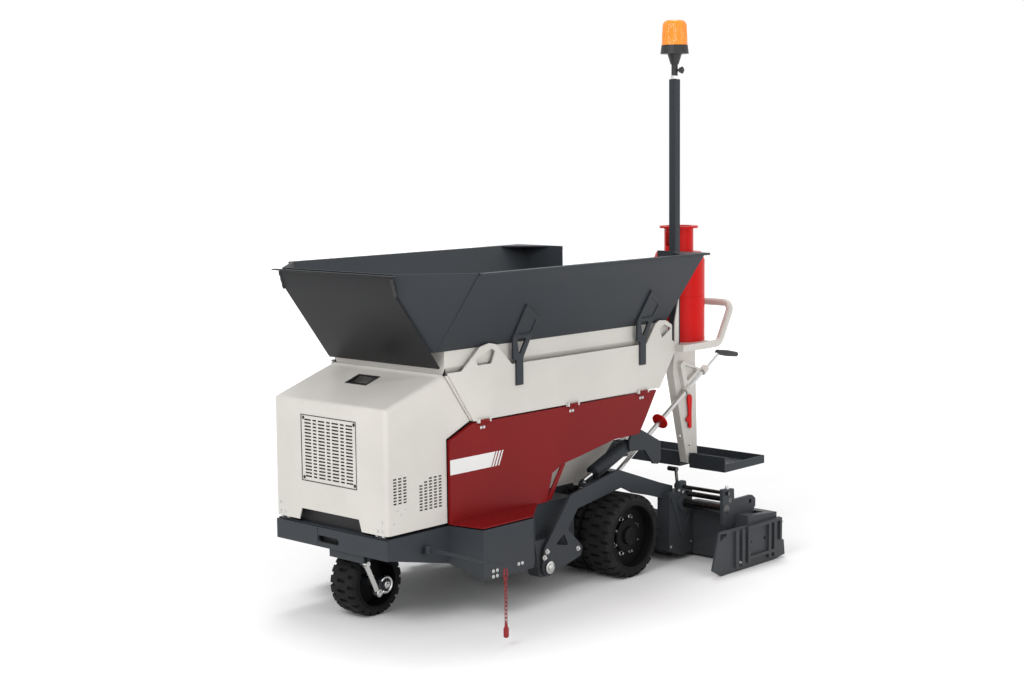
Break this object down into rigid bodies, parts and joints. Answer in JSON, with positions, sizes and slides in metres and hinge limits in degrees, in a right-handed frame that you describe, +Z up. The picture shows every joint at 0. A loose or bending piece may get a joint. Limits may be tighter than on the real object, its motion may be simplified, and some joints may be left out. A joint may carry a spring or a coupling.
{
  "type": "asphalt paver",
  "caption": "Compact three-wheeled asphalt paver with a sheet-metal hopper, tipping hood, hinged doors, arched tow arms, an extending screed, folding footboard, gas bottle and beacon mast.",
  "frame": {"origin": "on the ground under the middle of the machine's length, on its centre plane", "axes": "+X towards the hood end, +Y to the machine's left, +Z up"},
  "size_m": [2.0701, 1.3, 2.018],
  "materials": {
    "light_paint": "satin light grey-beige paint",
    "red_paint": "gloss deep red paint",
    "signal_red": "gloss bright red paint",
    "slate_paint": "satin dark slate paint",
    "rim_paint": "semi-matt black paint",
    "engine_grey": "plain casting",
    "tyre_rubber": "solid rubber",
    "worn_steel": "worn bare steel",
    "bright_steel": "bright zinc-coated steel",
    "oiled_steel": "ground steel, dark with oil and bitumen",
    "chrome_rod": "ground and chromed",
    "black_plastic": "moulded black",
    "amber_lens": "ribbed amber lens"
  },
  "bodies": {
    "machine": {"chassis_frame": "slate_paint", "arm_hanger_left": "slate_paint", "arm_hanger_right": "slate_paint", "deck_fittings": "slate_paint", "engine_block": "engine_grey", "side_panel_left": "light_paint", "side_panel_right": "light_paint", "lug_front_left": "light_paint", "lug_front_right": "light_paint", "lug_rear_left": "light_paint", "lug_rear_right": "light_paint", "conveyor_trough": "light_paint", "conveyor": "worn_steel", "hopper_shell": "slate_paint", "hopper_struts_left": "slate_paint", "hopper_struts_right": "slate_paint", "rear_console": "light_paint", "push_handle": "light_paint", "gas_bottle": "signal_red", "beacon_mast": "slate_paint", "beacon_base": "black_plastic", "beacon_lens": "amber_lens", "platform_leg_left": "light_paint", "platform_leg_right": "light_paint", "rear_axle": "worn_steel", "crank_rods": "bright_steel", "crank_grips": "black_plastic", "depth_discs": "signal_red", "lift_bracket_left": "slate_paint", "lift_bracket_right": "slate_paint"},
    "hood": {"hood_shell": "light_paint", "hood_grille": "light_paint"},
    "door_left": {"door_left": "red_paint"},
    "door_right": {"door_right": "red_paint"},
    "steering": {"front_yoke": "slate_paint"},
    "front_wheel": {"front_tyre": "tyre_rubber", "front_rim": "rim_paint"},
    "rear_wheel_left": {"rear_tyres_left": "tyre_rubber", "rear_rim_left": "rim_paint"},
    "rear_wheel_right": {"rear_tyres_right": "tyre_rubber", "rear_rim_right": "rim_paint"},
    "screed": {"tow_arm_left": "slate_paint", "tow_arm_right": "slate_paint", "screed_body": "slate_paint", "screed_bracket_left": "slate_paint", "screed_bracket_right": "slate_paint", "crank_spindles": "oiled_steel"},
    "extension_left": {"extension_box_left": "slate_paint", "guide_tubes_left": "oiled_steel", "end_plate_left": "slate_paint"},
    "extension_right": {"extension_box_right": "slate_paint", "guide_tubes_right": "oiled_steel", "end_plate_right": "slate_paint"},
    "footboard": {"footboard": "slate_paint"},
    "guide_rod": {"guide_rod": "slate_paint", "guide_chain": "signal_red"},
    "lift_barrel_left": {"lift_barrel_left": "slate_paint"},
    "lift_barrel_right": {"lift_barrel_right": "slate_paint"},
    "lift_rod_left": {"lift_rod_left": "chrome_rod"},
    "lift_rod_right": {"lift_rod_right": "chrome_rod"}
  },
  "joints": [
    {"name": "hood_hinge", "type": "hinge", "parent": "machine", "child": "hood", "pos_m": [0.999, 0, 0.322], "axis": [0, 1, 0], "range_deg": [0, 55]},
    {"name": "door_left_hinge", "type": "hinge", "parent": "machine", "child": "door_left", "pos_m": [0.12, 0.297, 0.647], "axis": [1, 0, 0], "range_deg": [0, 100]},
    {"name": "door_right_hinge", "type": "hinge", "parent": "machine", "child": "door_right", "pos_m": [0.12, -0.297, 0.647], "axis": [-1, 0, 0], "range_deg": [0, 100]},
    {"name": "front_steering", "type": "hinge", "parent": "machine", "child": "steering", "pos_m": [0.869, 0, 0.28], "axis": [0, 0, 1], "range_deg": [-42, 42]},
    {"name": "front_wheel_spin", "type": "hinge", "parent": "steering", "child": "front_wheel", "pos_m": [0.869, 0.015, 0.114], "axis": [0, 1, 0], "continuous": true},
    {"name": "rear_wheel_left_spin", "type": "hinge", "parent": "machine", "child": "rear_wheel_left", "pos_m": [-0.081, 0.269, 0.152], "axis": [0, 1, 0], "continuous": true},
    {"name": "rear_wheel_right_spin", "type": "hinge", "parent": "machine", "child": "rear_wheel_right", "pos_m": [-0.081, -0.269, 0.152], "axis": [0, 1, 0], "continuous": true},
    {"name": "screed_lift", "type": "hinge", "parent": "machine", "child": "screed", "pos_m": [0.305, 0, 0.101], "axis": [0, 1, 0], "range_deg": [0, 12]},
    {"name": "extension_left_slide", "type": "slide", "parent": "screed", "child": "extension_left", "axis": [0, 1, 0], "range_m": [-0.17, 0]},
    {"name": "extension_right_slide", "type": "slide", "parent": "screed", "child": "extension_right", "axis": [0, -1, 0], "range_m": [-0.17, 0]},
    {"name": "footboard_fold", "type": "hinge", "parent": "machine", "child": "footboard", "pos_m": [-0.803, 0, 0.297], "axis": [0, 1, 0], "range_deg": [0, 85]},
    {"name": "guide_rod_swing", "type": "hinge", "parent": "machine", "child": "guide_rod", "pos_m": [0.845, 0.293, 0.256], "axis": [0, 0, 1], "range_deg": [-85, 0]},
    {"name": "lift_barrel_left_pivot", "type": "hinge", "parent": "machine", "child": "lift_barrel_left", "pos_m": [-0.261, 0.232, 0.445], "axis": [0, 1, 0], "range_deg": [-14, 1]},
    {"name": "lift_barrel_right_pivot", "type": "hinge", "parent": "machine", "child": "lift_barrel_right", "pos_m": [-0.261, -0.232, 0.445], "axis": [0, 1, 0], "range_deg": [-14, 1]},
    {"name": "lift_rod_left_slide", "type": "slide", "parent": "lift_barrel_left", "child": "lift_rod_left", "axis": [0.9296, 0, -0.3685], "range_m": [-0.001, 0.04]},
    {"name": "lift_rod_right_slide", "type": "slide", "parent": "lift_barrel_right", "child": "lift_rod_right", "axis": [0.9296, 0, -0.3685], "range_m": [-0.001, 0.04]}
  ],
  "couplings": [
    {"joint": "lift_barrel_left_pivot", "follows": "screed_lift", "ratio": -1.06},
    {"joint": "lift_rod_left_slide", "follows": "screed_lift", "m_per_rad": 0.172},
    {"joint": "lift_barrel_right_pivot", "follows": "screed_lift", "ratio": -1.06},
    {"joint": "lift_rod_right_slide", "follows": "screed_lift", "m_per_rad": 0.172}
  ]
}
